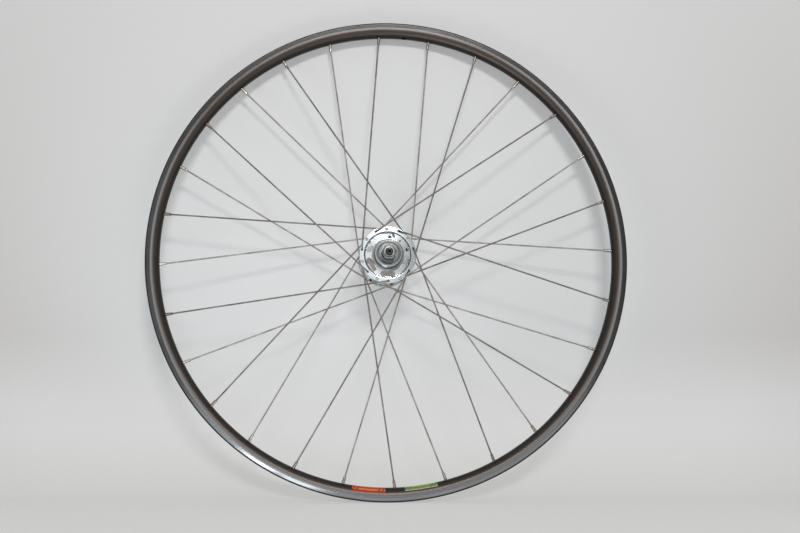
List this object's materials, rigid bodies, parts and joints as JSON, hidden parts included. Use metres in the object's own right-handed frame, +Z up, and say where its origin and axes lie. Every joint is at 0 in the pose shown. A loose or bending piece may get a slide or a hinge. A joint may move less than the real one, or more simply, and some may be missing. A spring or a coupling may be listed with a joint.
{
  "type": "bicycle wheel",
  "caption": "Bare spoked rear wheel of a road bicycle: dark hollow rim, crossed wire spokes, slotted high-flange hub with a freewheel thread and a hollow axle.",
  "frame": {"origin": "on the axle in the rim's middle plane", "axes": "+Y along the axle from the drive side to the other side, +Z up through the rim's top, valve hole near the top"},
  "size_m": [0.6339, 0.131, 0.634],
  "materials": {
    "rim_anodised": "dark anodised, brake tracks worn to grey",
    "hub_alloy": "polished, lightly dulled",
    "spoke_steel": "drawn stainless wire",
    "nipple_brass": "nickel plated, worn to brass in places",
    "bearing_steel": "hardened and ground",
    "axle_steel": "oiled dark steel",
    "plated_steel": "chrome plated, dulled",
    "spacer_alloy": "turned"
  },
  "bodies": {
    "axle": {"axle": "axle_steel", "cone_right": "axle_steel", "cone_left": "axle_steel", "washer_right": "axle_steel", "washer_left": "axle_steel", "spacer_right": "spacer_alloy", "spacer_left": "spacer_alloy", "locknut_right": "plated_steel", "locknut_left": "plated_steel"},
    "wheel": {"rim": "rim_anodised", "hub_shell": "hub_alloy", "nipples": "nipple_brass", "bearing_cup_right": "bearing_steel", "bearing_cup_left": "bearing_steel", "dust_cap_right": "plated_steel", "dust_cap_left": "plated_steel", "spoke_01": "spoke_steel", "spoke_02": "spoke_steel", "spoke_03": "spoke_steel", "spoke_04": "spoke_steel", "spoke_05": "spoke_steel", "spoke_06": "spoke_steel", "spoke_07": "spoke_steel", "spoke_08": "spoke_steel", "spoke_09": "spoke_steel", "spoke_10": "spoke_steel", "spoke_11": "spoke_steel", "spoke_12": "spoke_steel", "spoke_13": "spoke_steel", "spoke_14": "spoke_steel", "spoke_15": "spoke_steel", "spoke_16": "spoke_steel", "spoke_17": "spoke_steel", "spoke_18": "spoke_steel", "spoke_19": "spoke_steel", "spoke_20": "spoke_steel", "spoke_21": "spoke_steel", "spoke_22": "spoke_steel", "spoke_23": "spoke_steel", "spoke_24": "spoke_steel", "spoke_25": "spoke_steel", "spoke_26": "spoke_steel", "spoke_27": "spoke_steel", "spoke_28": "spoke_steel"},
    "balls_right": {"bearing_balls_right": "bearing_steel"},
    "balls_left": {"bearing_balls_left": "bearing_steel"}
  },
  "joints": [
    {"name": "wheel_spin", "type": "hinge", "parent": "axle", "child": "wheel", "pos_m": [0, 0, 0], "axis": [0, 1, 0], "continuous": true},
    {"name": "balls_right_roll", "type": "hinge", "parent": "axle", "child": "balls_right", "pos_m": [0, -0.0385, 0], "axis": [0, 1, 0], "continuous": true},
    {"name": "balls_left_roll", "type": "hinge", "parent": "axle", "child": "balls_left", "pos_m": [0, 0.0385, 0], "axis": [0, 1, 0], "continuous": true}
  ],
  "couplings": [
    {"joint": "balls_right_roll", "follows": "wheel_spin", "ratio": 0.6176},
    {"joint": "balls_left_roll", "follows": "wheel_spin", "ratio": 0.6176}
  ]
}
